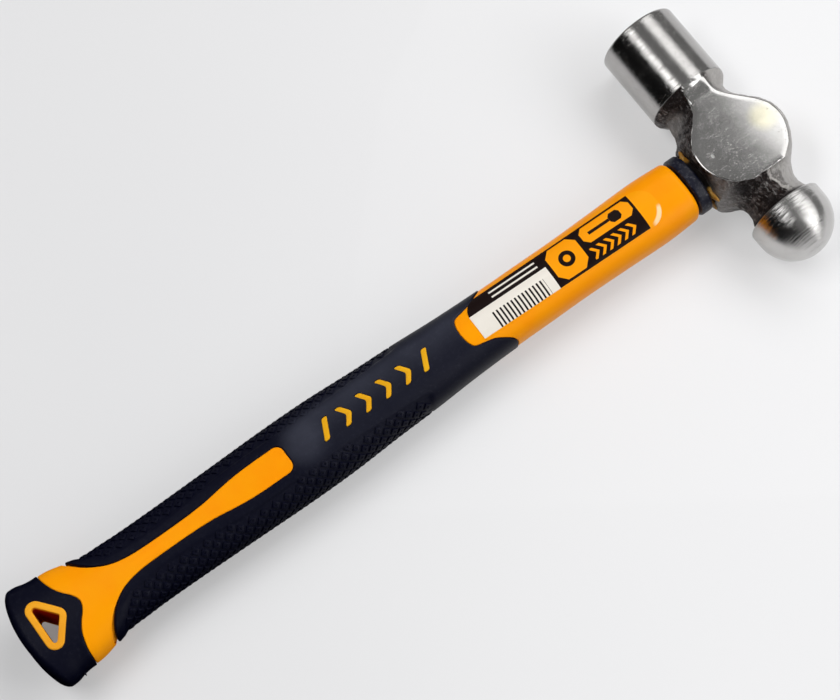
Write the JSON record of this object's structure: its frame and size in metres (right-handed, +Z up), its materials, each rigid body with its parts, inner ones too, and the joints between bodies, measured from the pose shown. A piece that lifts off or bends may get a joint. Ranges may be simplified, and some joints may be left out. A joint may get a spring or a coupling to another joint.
{
  "type": "ball peen hammer",
  "caption": "Ball peen hammer with a forged steel head bonded to a fibreglass core, an over-moulded plastic handle, a soft grip sleeve and a hang hole in the butt.",
  "frame": {"origin": "on the surface the hammer lies on, under the middle of its bounding box", "axes": "+X along the handle from the butt to the head, +Y toward the striking face, +Z up out of the upper cheek"},
  "size_m": [0.3164, 0.102, 0.03],
  "materials": {
    "forged_steel": "ground and polished on poll, ball and cheeks, dark forging scale elsewhere",
    "fibreglass": "matt, lengthwise fibres",
    "amber_resin": "cured resin",
    "orange_plastic": "semi-gloss moulding",
    "black_rubber": "satin, with a moulded pattern on the flanks of the grip",
    "amber_plastic": "satin moulding",
    "label_film": "printed adhesive film"
  },
  "bodies": {
    "root": {"hammer_head": "forged_steel", "fibreglass_rod": "fibreglass", "eye_epoxy": "amber_resin", "neck_collar": "black_rubber", "handle_jacket": "orange_plastic", "grip_sleeve": "black_rubber", "butt_cap": "black_rubber", "hang_hole_liner": "amber_plastic", "product_label": "label_film", "inlay_mark_front_1": "amber_plastic", "inlay_mark_back_1": "amber_plastic", "inlay_mark_front_2": "amber_plastic", "inlay_mark_back_2": "amber_plastic", "inlay_mark_front_3": "amber_plastic", "inlay_mark_back_3": "amber_plastic", "inlay_mark_front_4": "amber_plastic", "inlay_mark_back_4": "amber_plastic", "inlay_mark_front_5": "amber_plastic", "inlay_mark_back_5": "amber_plastic", "inlay_mark_front_6": "amber_plastic", "inlay_mark_back_6": "amber_plastic"}
  },
  "joints": []
}
